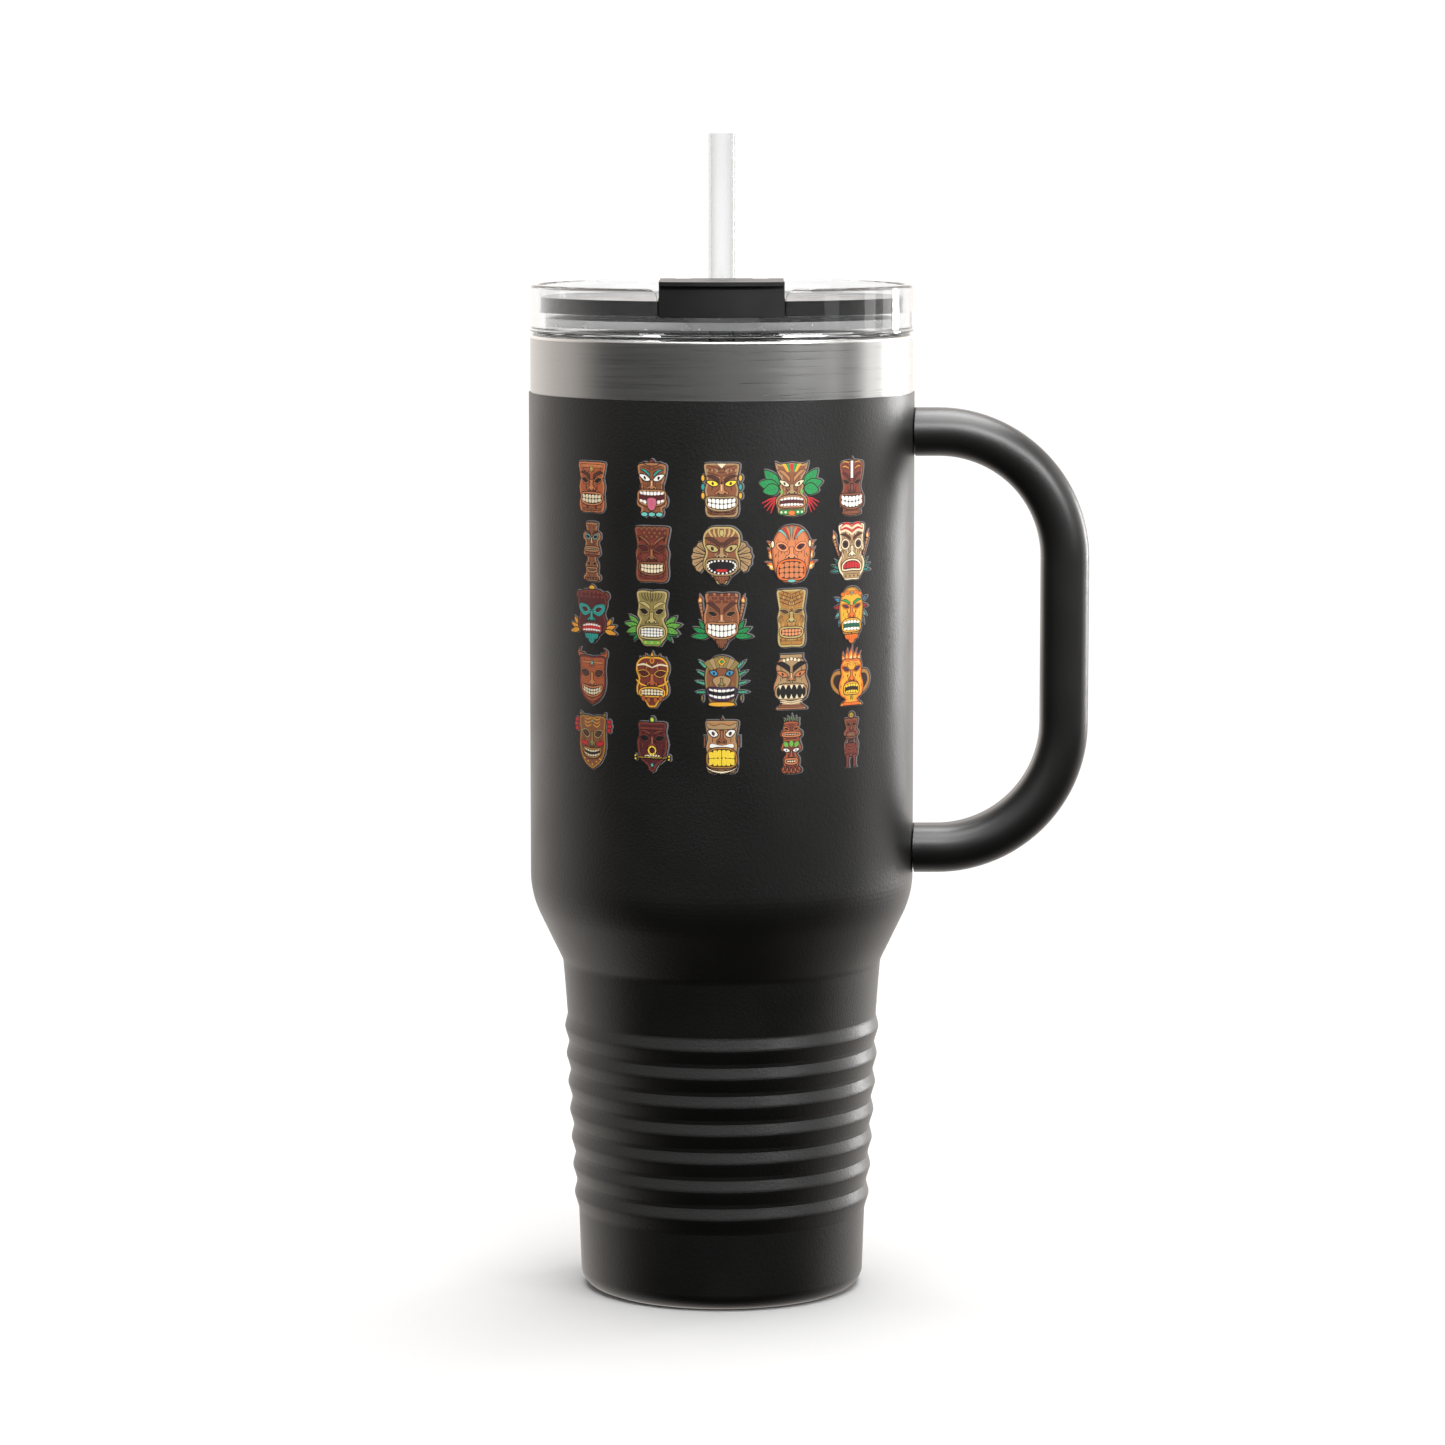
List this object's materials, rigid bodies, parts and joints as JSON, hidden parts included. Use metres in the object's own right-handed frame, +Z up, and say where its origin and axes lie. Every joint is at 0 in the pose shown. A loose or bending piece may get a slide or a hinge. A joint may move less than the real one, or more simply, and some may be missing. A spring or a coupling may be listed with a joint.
{
  "type": "insulated travel mug",
  "caption": "Vacuum-walled steel travel mug with a ribbed cup-holder shank, loop handle, clear flip-flap lid and drinking straw.",
  "frame": {"origin": "centre of the foot ring, on the surface the mug stands on", "axes": "+Z up along the mug's axis, +X towards the handle, -Y towards the flap and the printed side"},
  "size_m": [0.1455, 0.1008, 0.3015],
  "materials": {
    "brushed_steel": "stainless steel, brushed round the neck",
    "powder_coat": "matte black powder coat with a fine orange-peel grain",
    "liner_steel": "stainless steel, satin, electropolished",
    "seal_glass": "dull sealing glass",
    "getter_metal": "sintered grey metal",
    "handle_coat": "black moulded handle with a matte coat like the body's",
    "black_plastic": "black moulded plastic, fine matte texture",
    "flap_plastic": "black moulded plastic, satin",
    "black_rubber": "black rubber",
    "clear_plastic": "clear copolyester, glossy",
    "frosted_plastic": "clear copolyester, lightly frosted",
    "straw_plastic": "clear straw, slightly frosted",
    "silicone": "translucent white silicone",
    "pin_steel": "plain stainless pin and screws"
  },
  "bodies": {
    "mug": {"outer_shell": "brushed_steel", "powder_coat": "powder_coat", "inner_liner": "liner_steel", "base_plate": "liner_steel", "vacuum_seal": "seal_glass", "getter": "getter_metal", "base_cover": "black_plastic", "handle_front": "handle_coat", "handle_rear": "handle_coat", "upper_bracket": "brushed_steel", "lower_bracket": "brushed_steel", "handle_screws": "pin_steel", "screw_plugs": "black_rubber"},
    "lid": {"lid_body": "clear_plastic", "lid_floor": "frosted_plastic", "lid_skirt": "clear_plastic", "lid_gasket": "silicone", "lid_deck": "black_plastic", "straw_bush": "silicone", "hinge_pin": "pin_steel"},
    "flap": {"flap": "flap_plastic", "flap_seal": "silicone"},
    "straw": {"straw": "straw_plastic"}
  },
  "joints": [
    {"name": "lid_lift", "type": "slide", "parent": "mug", "child": "lid", "axis": [0, 0, 1], "range_m": [0, 0.3]},
    {"name": "flap_hinge", "type": "hinge", "parent": "lid", "child": "flap", "pos_m": [0, -0.012, 0.2612], "axis": [-1, 0, 0], "range_deg": [0, 105]},
    {"name": "straw_pull", "type": "slide", "parent": "lid", "child": "straw", "axis": [0, 0, 1], "range_m": [0, 0.3]}
  ]
}
